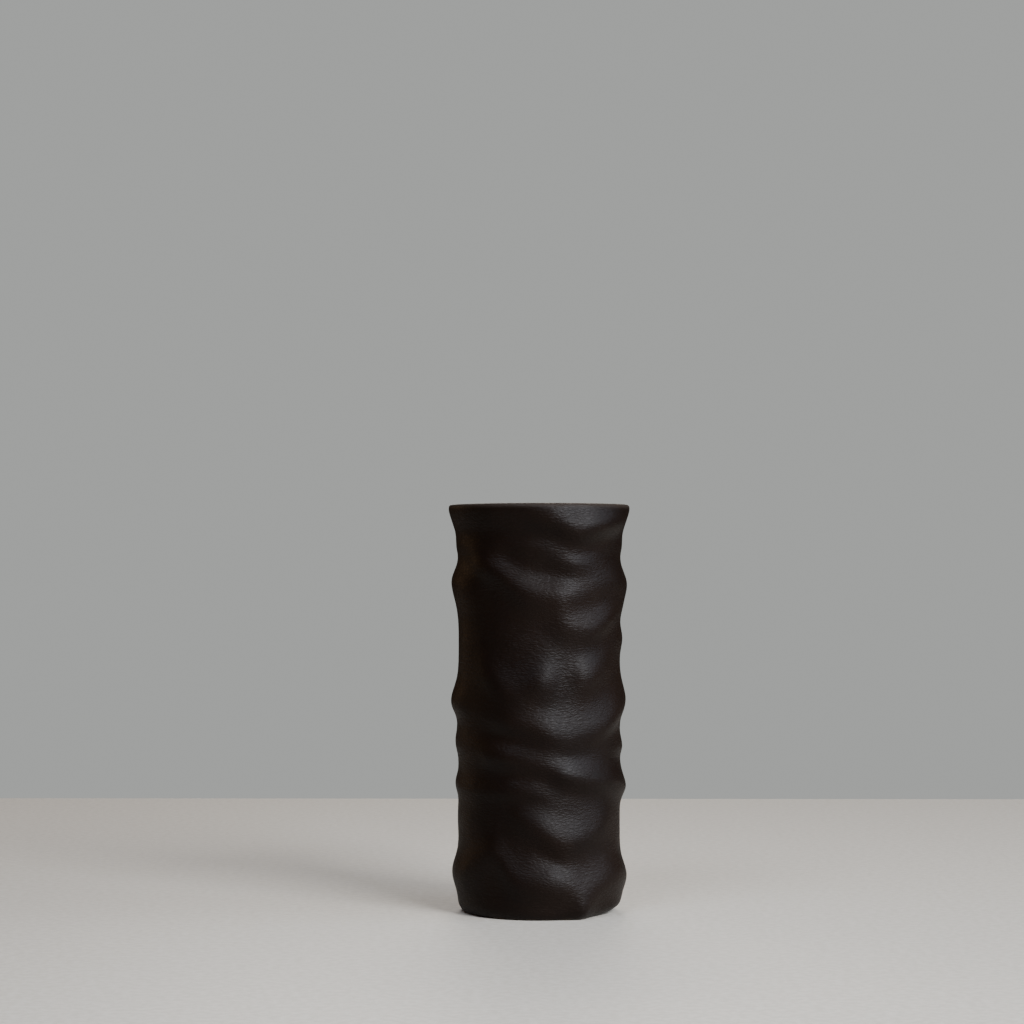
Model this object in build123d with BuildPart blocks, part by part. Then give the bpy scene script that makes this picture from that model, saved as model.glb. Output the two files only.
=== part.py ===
from build123d import *
from math import cos, exp, pi, radians, sin
from typing import NamedTuple
import os

# A bud vase: one fired ceramic body, closed at the foot and open at the rim.
# Its wall is a tall cylinder that was pushed into soft folds while the clay was wet.
# Millimetres, +Z up. The origin is the middle of the flat foot, and -Y is the front.
# A bearing is an angle about Z in degrees: 0 is +X, 90 the back, 180 -X and -90 the front.

HEIGHT = 202.0
BODY_RADIUS = 40.2
WALL = 4.5
FLOOR = 7.0

SHOULDER_STEP = 1.3
SHOULDER_FROM = 174.0
SHOULDER_TO = 183.0
RIM_FLARE = 3.7
FLARE_FROM = 185.0
FLARE_TO = 201.0
RIM_ROUND = 1.5

FOOT_HEIGHT = 6.0
FOOT_INSET = 4.2
FLAT_INSET = 6.5
FLAT_BEARING = -8
FLAT_SPREAD = 32
INNER_CORNER = 9.0
INNER_SOFTENING = 0.85

SEAM = 90
SECTION_POINTS = 48
SECTION_STEP = 4.0
ROUND_STEPS = 4


class Crest(NamedTuple):
    """A point on a fold's ridge: how high it is, and how far it stands out there."""
    bearing: float
    height: float
    proud: float


class Fold(NamedTuple):
    """A ridge round the wall, and how far it spreads above and below its crest."""
    above: float
    below: float
    crests: list[Crest]


class Dimple(NamedTuple):
    """A local push into the wall, or out of it: half its length, half its height, its lean."""
    bearing: float
    height: float
    length: float
    breadth: float
    lean: float
    proud: float


RIM_BAND = Fold(8.5, 6, [
    Crest(-114, 195, 0), Crest(-98, 194, 1), Crest(-86, 192.5, 2.8), Crest(-75, 190, 4.6),
    Crest(-65, 188, 6), Crest(-54, 189.5, 6), Crest(-42, 191, 5), Crest(-26, 192.5, 3), Crest(-4, 194, 0),
])
SHOULDER_KNUCKLE = Fold(6, 6, [
    Crest(-112, 180, 0), Crest(-94, 178, 0.8), Crest(-80, 175.5, 1.6), Crest(-68, 173, 2.8),
    Crest(-58, 172.5, 2.5), Crest(-46, 173.5, 1), Crest(-28, 175, 0),
])
UPPER_LEFT = Fold(7.5, 12, [
    Crest(160, 166, 0), Crest(180, 164, 3.4), Crest(-160, 163, 3), Crest(-142, 160, 1.6),
    Crest(-126, 157, 0),
])
UPPER_RING = Fold(8, 8, [
    Crest(-160, 175, 0), Crest(-144, 174, 1.2), Crest(-130, 171.5, 3), Crest(-118, 168.5, 3),
    Crest(-108, 163, 2.6), Crest(-97, 158.5, 2.5), Crest(-85, 157, 2.6), Crest(-74, 156.5, 3.2),
    Crest(-62, 158.5, 2.7), Crest(-48, 162, 2.5), Crest(-25, 164, 3), Crest(0, 163, 3.4),
    Crest(45, 166, 3), Crest(90, 160, 3.4), Crest(135, 165, 2.8), Crest(160, 166, 2.4),
    Crest(176, 166, 0),
])
CHEST_FOLD = Fold(8, 7, [
    Crest(-94, 146, 0), Crest(-82, 144, 0.8), Crest(-73, 142.5, 2.3), Crest(-63, 141, 3),
    Crest(-53, 141, 3.4), Crest(-41, 144, 2.9), Crest(-26, 149, 2), Crest(-8, 152.5, 1.6),
    Crest(14, 155, 0),
])
BACK_FOLD = Fold(6, 6, [
    Crest(-36, 134, 0), Crest(-16, 135, 1), Crest(0, 135.5, 1.4), Crest(40, 139, 1.8),
    Crest(80, 136, 2.4), Crest(120, 140, 1.2), Crest(150, 138, 0),
])
WAIST_FOLD = Fold(9.5, 8.5, [
    Crest(-156, 124, 0), Crest(-140, 121, 0.5), Crest(-128, 117.5, 1.8), Crest(-116, 112.5, 2.5),
    Crest(-106, 110.5, 2.4), Crest(-97, 112.5, 2.7), Crest(-88, 115, 3.3), Crest(-79.5, 115.5, 1.7),
    Crest(-71.5, 116, 0.3), Crest(-64, 117, 2), Crest(-56, 117.5, 3.3), Crest(-42, 121, 1.8),
    Crest(-22, 125, 0),
])
MIDDLE_RING = Fold(10, 7, [
    Crest(180, 104, 3.8), Crest(-162, 103.5, 2.7), Crest(-145, 102, 1), Crest(-128, 99.5, 1.3),
    Crest(-112, 96.5, 2.8), Crest(-98, 94, 3.2), Crest(-84, 90.5, 3.4), Crest(-72, 88.5, 2.8),
    Crest(-60, 89.5, 2.4), Crest(-42, 93.5, 3), Crest(-22, 100, 3.1), Crest(0, 105, 3),
    Crest(45, 102, 3.2), Crest(90, 107, 2.8), Crest(135, 100, 3.4),
])
BELLY_RING = Fold(8, 5.5, [
    Crest(180, 84, 1.6), Crest(-158, 83, 1), Crest(-141, 81.5, 0.8), Crest(-127, 79.5, 2),
    Crest(-114, 78.5, 2.9), Crest(-99, 77, 2.5), Crest(-86, 74.5, 2.3), Crest(-74, 70.5, 3.2),
    Crest(-62, 68.5, 3.6), Crest(-48, 67, 3.1), Crest(-30, 65.5, 2.7), Crest(0, 62, 3),
    Crest(45, 65, 2.4), Crest(90, 74, 2.6), Crest(135, 82, 2),
])
RIGHT_CREASE = Fold(4.5, 4, [
    Crest(-52, 85, 0), Crest(-34, 83, 0.7), Crest(0, 82.5, 1.3), Crest(30, 83, 0.8),
    Crest(55, 84, 0),
])
LEFT_CREASE = Fold(5, 4.5, [
    Crest(130, 60, 0), Crest(155, 62, 1.2), Crest(180, 63.5, 1.6), Crest(-150, 62, 0.9),
    Crest(-125, 62, 1.1), Crest(-106, 63, 1.7), Crest(-93, 62.5, 1.3), Crest(-81, 60.5, 0.4),
    Crest(-68, 59, 0),
])
LOWER_FRONT = Fold(9, 7, [
    Crest(-118, 54, 0), Crest(-105, 49.5, 1.5), Crest(-94, 45.5, 2.5), Crest(-83, 41.5, 3),
    Crest(-72, 38.5, 2.8), Crest(-60, 39.5, 2.4), Crest(-44, 43.5, 1.6), Crest(-22, 48, 0),
])
LOWER_BACK = Fold(9, 6.5, [
    Crest(60, 46, 0), Crest(90, 44, 2.6), Crest(120, 46, 1.8), Crest(150, 46, 0.8),
    Crest(175, 46, 0.5), Crest(-160, 45, 0),
])
FOOT_RING = Fold(8.5, 9, [
    Crest(180, 20, 3.2), Crest(-155, 20, 3), Crest(-137, 26, 2), Crest(-122, 31.5, 2.1),
    Crest(-113, 25, 2.4), Crest(-104, 19, 2.7), Crest(-92, 17.5, 2.8), Crest(-80, 17.5, 3),
    Crest(-68, 15.5, 2.8), Crest(-58, 13.5, 2.6), Crest(-48, 16, 2.8), Crest(-39, 18.5, 3),
    Crest(-25, 19.5, 3.2), Crest(0, 18, 3.4), Crest(45, 22, 3), Crest(90, 18, 3.2),
    Crest(135, 24, 2.8),
])
FOLDS = [
    RIM_BAND, SHOULDER_KNUCKLE, UPPER_LEFT, UPPER_RING, CHEST_FOLD, BACK_FOLD, WAIST_FOLD,
    MIDDLE_RING, BELLY_RING, RIGHT_CREASE, LEFT_CREASE, LOWER_FRONT, LOWER_BACK, FOOT_RING,
]
DIMPLES = [
    Dimple(-86, 167, 9, 6, 0, -1.3),
    Dimple(-100, 142, 15, 9, 0, -0.6),
    Dimple(-154, 130, 6, 18, 0, 0.7),
    Dimple(-118, 88, 12, 4, -0.1, -0.8),
    Dimple(-84, 30, 10, 5, -0.4, -1),
    Dimple(-88, 6, 11, 5, 0, -0.9),
    Dimple(-60, 4, 5.5, 8, 0, 2.6),
    Dimple(-38, 3, 8, 8, 0, -1.2),
]


def turn(start, end):
    """The angle from one bearing round to another, anticlockwise, from 0 to 360."""
    return (end - start) % 360


def offset_from(bearing, centre):
    """How far a bearing lies from a centre, from -180 to 180."""
    return turn(centre - 180, bearing) - 180


def ease(value, start, end):
    """0 at start and 1 at end, with a smooth change between them and none past them."""
    t = min(1, max(0, (value - start) / (end - start)))
    return t * t * (3 - 2 * t)


def crest_at(fold, bearing):
    """The height and standing-out of a fold's ridge at a bearing: a Catmull-Rom curve."""
    crests = fold.crests
    last = max(range(len(crests)), key=lambda i: -turn(crests[i].bearing, bearing))
    p0, p1, p2, p3 = (crests[(last + k) % len(crests)] for k in (-1, 0, 1, 2))
    before, gap, after = (turn(a.bearing, b.bearing) for a, b in ((p0, p1), (p1, p2), (p2, p3)))
    t = turn(p1.bearing, bearing) / gap
    values = []
    for v0, v1, v2, v3 in zip(p0[1:], p1[1:], p2[1:], p3[1:]):
        leave = (v2 - v0) / (before + gap) * gap
        arrive = (v3 - v1) / (gap + after) * gap
        cubic = v1 + t * leave + t**2 * (3 * (v2 - v1) - 2 * leave - arrive)
        values.append(cubic + t**3 * (leave + arrive - 2 * (v2 - v1)))
    return values[0], max(0, values[1])


def relief(bearing, z):
    """How far the folds push the wall out at a bearing and a height."""
    total = 0
    for fold in FOLDS:
        height, proud = crest_at(fold, bearing)
        spread = fold.above if z > height else fold.below
        total += proud * exp(-(((z - height) / spread) ** 2))
    for dimple in DIMPLES:
        arc = radians(offset_from(bearing, dimple.bearing)) * BODY_RADIUS
        rise = z - dimple.height - dimple.lean * arc
        total += dimple.proud * exp(-((arc / dimple.length) ** 2) - (rise / dimple.breadth) ** 2)
    return total


def flare(z):
    """How far the shoulder and the rim stand out past the body."""
    step = SHOULDER_STEP * ease(z, SHOULDER_FROM, SHOULDER_TO)
    return step + RIM_FLARE * ease(z, FLARE_FROM, FLARE_TO)


def foot_inset(bearing):
    """How far the flat foot lies inside the wall, which is more at its flattened side."""
    flat = FLAT_INSET * exp(-((offset_from(bearing, FLAT_BEARING) / FLAT_SPREAD) ** 2))
    return FOOT_INSET + flat


def round_off(gap, size):
    """How far a quarter round of this size has drawn back, a gap short of its flat end."""
    if gap >= size:
        return 0
    return 1 - (1 - (1 - gap / size) ** 2) ** 0.5


def outside(bearing, z):
    """The radius of the outer face."""
    radius = BODY_RADIUS + relief(bearing, z) + flare(z)
    radius -= foot_inset(bearing) * round_off(z, FOOT_HEIGHT)
    return radius - RIM_ROUND * round_off(HEIGHT - z, RIM_ROUND)


def inside(bearing, z):
    """The radius of the inner face, where the folds are softer."""
    radius = BODY_RADIUS - WALL + INNER_SOFTENING * relief(bearing, z) + flare(z)
    radius -= foot_inset(bearing) * ease(z, FLOOR + 2 * INNER_CORNER, 0)
    radius -= INNER_CORNER * round_off(z - FLOOR, INNER_CORNER)
    return radius + RIM_ROUND * round_off(HEIGHT - z, RIM_ROUND)


def quarter(size):
    """Heights that step evenly round a quarter circle of this size, from its flat end."""
    return [size * (1 - cos(pi / 2 * k / ROUND_STEPS)) for k in range(ROUND_STEPS + 1)]


def section_heights(bottom, corner):
    """Heights of the sections from a rounded lower corner up to the rounded rim."""
    low, high = bottom + corner, HEIGHT - RIM_ROUND
    steps = round((high - low) / SECTION_STEP)
    middle = [low + (high - low) * k / steps for k in range(1, steps)]
    return ([bottom + h for h in quarter(corner)] + middle
            + [HEIGHT - h for h in reversed(quarter(RIM_ROUND))])


def wall_point(radius_at, bearing, z):
    """A point on the wall, in the plane of its section."""
    radius = radius_at(bearing, z)
    return Vector(radius * cos(radians(bearing)), radius * sin(radians(bearing)))


def wall_section(radius_at, z):
    """A closed smooth curve round the wall at one height, from the seam at the back.

    It leaves and meets the seam at its own pace, in millimetres per whole turn, so it can't double back.
    """
    shares = [k / SECTION_POINTS for k in range(SECTION_POINTS + 1)]
    points = [wall_point(radius_at, SEAM + 360 * share, z) for share in shares]
    across = wall_point(radius_at, SEAM + 1, z) - wall_point(radius_at, SEAM - 1, z)
    pace = across * 360 / 2
    return Edge.make_spline(points, tangents=[pace, pace], parameters=shares, scale=False)


os.makedirs("parts", exist_ok=True)

with BuildPart() as vase_body:
    for z in section_heights(0, FOOT_HEIGHT):
        with BuildSketch(Plane.XY.offset(z)):
            with BuildLine():
                add(wall_section(outside, z))
            make_face()
    loft()
    for z in section_heights(FLOOR, INNER_CORNER):
        with BuildSketch(Plane.XY.offset(z)):
            with BuildLine():
                add(wall_section(inside, z))
            make_face()
    loft(mode=Mode.SUBTRACT, clean=False)

vase_body.part.label = "vase_body"
export_step(vase_body.part, "parts/vase_body.step")
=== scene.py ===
"""The looks of the ceramic bud vase: its glaze and bare clay, on a plain pale floor in soft studio light."""
import math

import bpy
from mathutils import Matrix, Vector


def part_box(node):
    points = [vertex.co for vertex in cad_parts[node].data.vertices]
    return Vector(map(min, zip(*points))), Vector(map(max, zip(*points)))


# the camera: a long lens a little over a metre away and a little below the rim, vase right of the middle
EYE_DISTANCE = 1.25
EYE_HEIGHT = 0.171
LENS_MM = 87.9
SENSOR_MM = 36.0
PAN_LEFT = 0.62
TILT_UP = 1.26

# the studio: a floor in front of a backdrop that the camera sees but that lights nothing
FLOOR_SIZE = 1.2
BACKDROP = (0.40, 0.41, 0.40, 1)
ROOM_LIGHT = (0.040, 0.025, 0.015, 1)
FLOOR_LIGHT = (0.52, 0.48, 0.42, 1)
FLOOR_DARK = (0.45, 0.41, 0.35, 1)
FLECK_SIZE = 0.0038
FLOOR_ROUGHNESS = 0.38
FLOOR_SPECULAR = 0.35
LAMP_TARGET = Vector((0, 0, 0.1))

# the glaze and the clay: colours, and the sizes of their patches in metres
GLAZE_BLACK = (0.0032, 0.0012, 0.0005, 1)
GLAZE_BROWN = (0.0056, 0.0024, 0.0011, 1)
GRAIN_TINT = (0.0068, 0.0033, 0.0018, 1)
RIM_TINT = (0.040, 0.030, 0.024, 1)
BARE_CLAY = (0.085, 0.062, 0.045, 1)
RIM_DEPTH = 0.003
RIM_SHARE = 0.5
FOOT_DEPTH = 0.0012
CLOUD_SIZE = 0.045
WIPE_SIZE = 0.006
WIPE_EDGE = 0.0001
SPECK_SIZE = 0.0009

# how dull the surface is, and how the patches, the pebbles and the bare clay change it
GLAZE_SPECULAR = 0.105
ROUGHNESS = 0.47
ROUGH_PATCH_SIZE = 0.0077
ROUGHER_IN_PATCHES = 0.10
ROUGHER_ON_PEBBLES = -0.06
ROUGHER_ON_CLAY = 0.35

# the grain: short flat cells crossed by wavy lines, all about 1 mm tall, in metres
CELL_WIDTH = 0.0029
CELL_HEIGHT = 0.0011
LINE_WIDTH = 0.0043
LINE_HEIGHT = 0.00114
WANDER_SIZE = 0.022
WANDER_REACH = (0.002, 0.002, 0.006)
LINE_SHARE = 1.1
PEBBLE_SHARE = 0.35
PEBBLE_TINT = 0.35
INSIDE_SHARE = 0.3
GRAIN_DEPTH = 0.00022
GRAIN_STRENGTH = 0.9


def make_camera():
    """The picture's camera, in front of the vase on the -Y side."""
    data = bpy.data.cameras.new("camera")
    data.sensor_width = SENSOR_MM
    data.lens = LENS_MM
    camera = bpy.data.objects.new("camera", data)
    camera.location = (0, -EYE_DISTANCE, EYE_HEIGHT)
    camera.rotation_euler = (math.radians(90 + TILT_UP), 0, math.radians(PAN_LEFT))
    bpy.context.scene.collection.objects.link(camera)
    bpy.context.scene.camera = camera


def make_lamp(name, bearing, rise, distance, size, power, colour):
    """A soft square lamp, unseen itself, that faces the vase from a bearing and a rise in degrees."""
    data = bpy.data.lights.new(name, "AREA")
    data.shape = "SQUARE"
    data.size = size
    data.energy = power
    data.color = colour
    lamp = bpy.data.objects.new(name, data)
    flat = distance * math.cos(math.radians(rise))
    lamp.location = LAMP_TARGET + Vector((
        flat * math.cos(math.radians(bearing)),
        flat * math.sin(math.radians(bearing)),
        distance * math.sin(math.radians(rise)),
    ))
    lamp.rotation_euler = (lamp.location - LAMP_TARGET).to_track_quat("Z", "Y").to_euler()
    lamp.visible_camera = False
    bpy.context.scene.collection.objects.link(lamp)


def light_scene():
    """A window-like key lamp at the right front, and weaker lamps round the vase."""
    make_lamp("key", -52, 30, 2.0, 0.9, 92, (0.90, 0.94, 1.0))
    make_lamp("fill", -14, 24, 2.0, 1.4, 34, (0.72, 0.83, 1.0))
    make_lamp("sky", -116, 50, 2.0, 0.8, 24, (0.76, 0.84, 1.0))
    make_lamp("edge_left", 150, 12, 1.8, 0.5, 2.4, (1.0, 0.62, 0.34))
    make_lamp("behind", 92, 38, 1.8, 0.8, 14, (1.0, 0.94, 0.86))


def make_world():
    """A pale backdrop for the camera, and a dim warm room for everything else."""
    world = bpy.data.worlds.new("studio")
    world.use_nodes = True
    tree = world.node_tree
    backdrop = tree.nodes["Background"]
    backdrop.inputs["Color"].default_value = BACKDROP
    room = tree.nodes.new("ShaderNodeBackground")
    room.inputs["Color"].default_value = ROOM_LIGHT
    seen = tree.nodes.new("ShaderNodeLightPath")
    either = tree.nodes.new("ShaderNodeMixShader")
    tree.links.new(seen.outputs["Is Camera Ray"], either.inputs[0])
    tree.links.new(room.outputs[0], either.inputs[1])
    tree.links.new(backdrop.outputs[0], either.inputs[2])
    tree.links.new(either.outputs[0], tree.nodes["World Output"].inputs["Surface"])
    bpy.context.scene.world = world


class Nodes:
    """A short way to write a material's node tree."""

    def __init__(self, name):
        self.material = bpy.data.materials.new(name)
        self.material.use_nodes = True
        self.tree = self.material.node_tree
        self.shader = self.tree.nodes["Principled BSDF"]
        self.place = self.add("ShaderNodeTexCoord").outputs["Object"]

    def add(self, kind, inputs=None, **settings):
        """A node with its settings and inputs; an input is a value or another node's output."""
        node = self.tree.nodes.new(kind)
        for key, value in settings.items():
            setattr(node, key, value)
        for key, value in (inputs or {}).items():
            self.put(node, key, value)
        return node

    def put(self, node, key, value):
        """Sets an input to a value, or links it to another node's output."""
        if isinstance(value, bpy.types.NodeSocket):
            self.tree.links.new(value, node.inputs[key])
        else:
            node.inputs[key].default_value = value

    def math(self, operation, a, b=0.0, c=0.0):
        """The result of one sum."""
        node = self.add("ShaderNodeMath", {0: a, 1: b, 2: c}, operation=operation)
        return node.outputs["Value"]

    def vector(self, operation, a, b=(0, 0, 0), output="Vector"):
        """The result of one sum on vectors."""
        node = self.add("ShaderNodeVectorMath", {0: a, 1: b}, operation=operation)
        return node.outputs[output]

    def between(self, value, low, high, start=0.0, end=1.0):
        """A smooth step from start, at low, to end, at high."""
        node = self.add(
            "ShaderNodeMapRange",
            {"Value": value, "From Min": low, "From Max": high, "To Min": start, "To Max": end},
            interpolation_type="SMOOTHSTEP",
        )
        return node.outputs["Result"]

    def mix(self, share, a, b):
        """One colour laid over another by a share."""
        node = self.add("ShaderNodeMix", {0: share, 6: a, 7: b}, data_type="RGBA")
        return node.outputs[2]

    def cells(self, vector, width, height):
        """Coordinates that count in cells of this width and height, in metres."""
        scale = (1 / width, 1 / width, 1 / height)
        return self.add("ShaderNodeMapping", {"Vector": vector, "Scale": scale}).outputs["Vector"]

    def noise(self, vector, size, detail=3.0, roughness=0.5, output="Fac"):
        """Cloudy noise, with blots of about this size."""
        inputs = {"Vector": vector, "Scale": 1 / size, "Detail": detail, "Roughness": roughness}
        return self.add("ShaderNodeTexNoise", inputs).outputs[output]


def black_ceramic(foot, rim):
    """Matte black-brown glaze with a fine leathery grain, and bare clay under and round the foot."""
    n = Nodes("black_ceramic")
    height = n.add("ShaderNodeSeparateXYZ", {"Vector": n.place}).outputs["Z"]
    normal = n.add("ShaderNodeTexCoord").outputs["Normal"]
    outward = n.vector("NORMALIZE", n.vector("MULTIPLY", n.place, (1, 1, 0)))
    within = n.between(n.vector("DOT_PRODUCT", normal, outward, "Value"), -0.3, 0.2, 1.0, 0.0)

    # the grain: wavy lines and flat cells that wander, fainter in patches and on the poured inside
    wander = n.noise(n.place, WANDER_SIZE, 2.0, output="Color")
    moved = n.vector("ADD", n.place, n.vector("MULTIPLY", wander, WANDER_REACH))
    edge = n.add(
        "ShaderNodeTexVoronoi",
        {"Vector": n.cells(moved, CELL_WIDTH, CELL_HEIGHT), "Scale": 1.0},
        feature="DISTANCE_TO_EDGE",
    )
    pebble = n.between(edge.outputs["Distance"], 0.0, 0.3)
    wrinkle = n.noise(n.cells(moved, LINE_WIDTH, LINE_HEIGHT), 1.0, 1.5, 0.45)
    patch = n.between(n.noise(n.place, WANDER_SIZE, 2.0), 0.3, 0.7, 0.6, 1.0)
    grain = n.math("MULTIPLY_ADD", wrinkle, LINE_SHARE, n.math("MULTIPLY", pebble, PEBBLE_SHARE))
    grain = n.math("MULTIPLY", grain, patch)
    grain = n.math("MULTIPLY", grain, n.between(within, 0.0, 1.0, 1.0, INSIDE_SHARE))
    bump_inputs = {"Height": grain, "Distance": GRAIN_DEPTH, "Strength": GRAIN_STRENGTH}
    bump = n.add("ShaderNodeBump", bump_inputs)

    # the colour: warm black, browner where the glaze is thin, and clay where the foot was wiped
    cloud = n.noise(n.place, CLOUD_SIZE, 4.0, 0.6)
    glaze = n.mix(n.between(cloud, 0.35, 0.7), GLAZE_BLACK, GLAZE_BROWN)
    glaze = n.mix(n.math("MULTIPLY", pebble, PEBBLE_TINT), glaze, GRAIN_TINT)
    # lighter towards the top edge: the top RIM_DEPTH of the rim goes part-way to a lighter warm grey, all
    # the way round
    glaze = n.mix(n.between(height, rim - RIM_DEPTH, rim, 0.0, RIM_SHARE), glaze, RIM_TINT)
    wiped_to = n.math("MULTIPLY_ADD", n.noise(n.place, WIPE_SIZE, 2.0), FOOT_DEPTH, foot)
    bare = n.between(n.math("SUBTRACT", height, wiped_to), -WIPE_EDGE, WIPE_EDGE, 1.0, 0.0)
    speck = n.between(n.noise(n.place, SPECK_SIZE, 2.0), 0.3, 0.7, 0.6, 1.0)
    clay = n.mix(speck, GLAZE_BROWN, BARE_CLAY)
    n.put(n.shader, "Base Color", n.mix(bare, glaze, clay))

    patches = n.noise(n.place, ROUGH_PATCH_SIZE, 2.0)
    rough = n.math("MULTIPLY_ADD", patches, ROUGHER_IN_PATCHES, ROUGHNESS)
    rough = n.math("MULTIPLY_ADD", pebble, ROUGHER_ON_PEBBLES, rough)
    rough = n.math("MULTIPLY_ADD", bare, ROUGHER_ON_CLAY, rough)
    n.put(n.shader, "Roughness", rough)
    n.put(n.shader, "Specular IOR Level", GLAZE_SPECULAR)
    n.put(n.shader, "Normal", bump.outputs["Normal"])
    return n.material


def plain_floor():
    """A plain pale floor, a little glossy."""
    n = Nodes("pale_floor")
    fleck = n.between(n.noise(n.place, FLECK_SIZE, 3.0, 0.6), 0.35, 0.65)
    n.put(n.shader, "Base Color", n.mix(fleck, FLOOR_DARK, FLOOR_LIGHT))
    n.put(n.shader, "Roughness", FLOOR_ROUGHNESS)
    n.put(n.shader, "Specular IOR Level", FLOOR_SPECULAR)
    bpy.ops.mesh.primitive_plane_add(size=FLOOR_SIZE)
    floor = bpy.context.object
    floor.name = "floor"
    floor.data.materials.append(n.material)


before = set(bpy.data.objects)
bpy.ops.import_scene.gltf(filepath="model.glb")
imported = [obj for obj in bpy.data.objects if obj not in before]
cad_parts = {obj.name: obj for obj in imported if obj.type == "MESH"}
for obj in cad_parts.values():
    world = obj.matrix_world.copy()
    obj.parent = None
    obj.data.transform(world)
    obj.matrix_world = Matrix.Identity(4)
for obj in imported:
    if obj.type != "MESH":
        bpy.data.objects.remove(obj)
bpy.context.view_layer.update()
make_camera()
light_scene()
make_world()
plain_floor()
lowest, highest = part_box("vase_body")
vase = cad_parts["vase_body"]
vase.data.materials.clear()
vase.data.materials.append(black_ceramic(lowest[2], highest[2]))
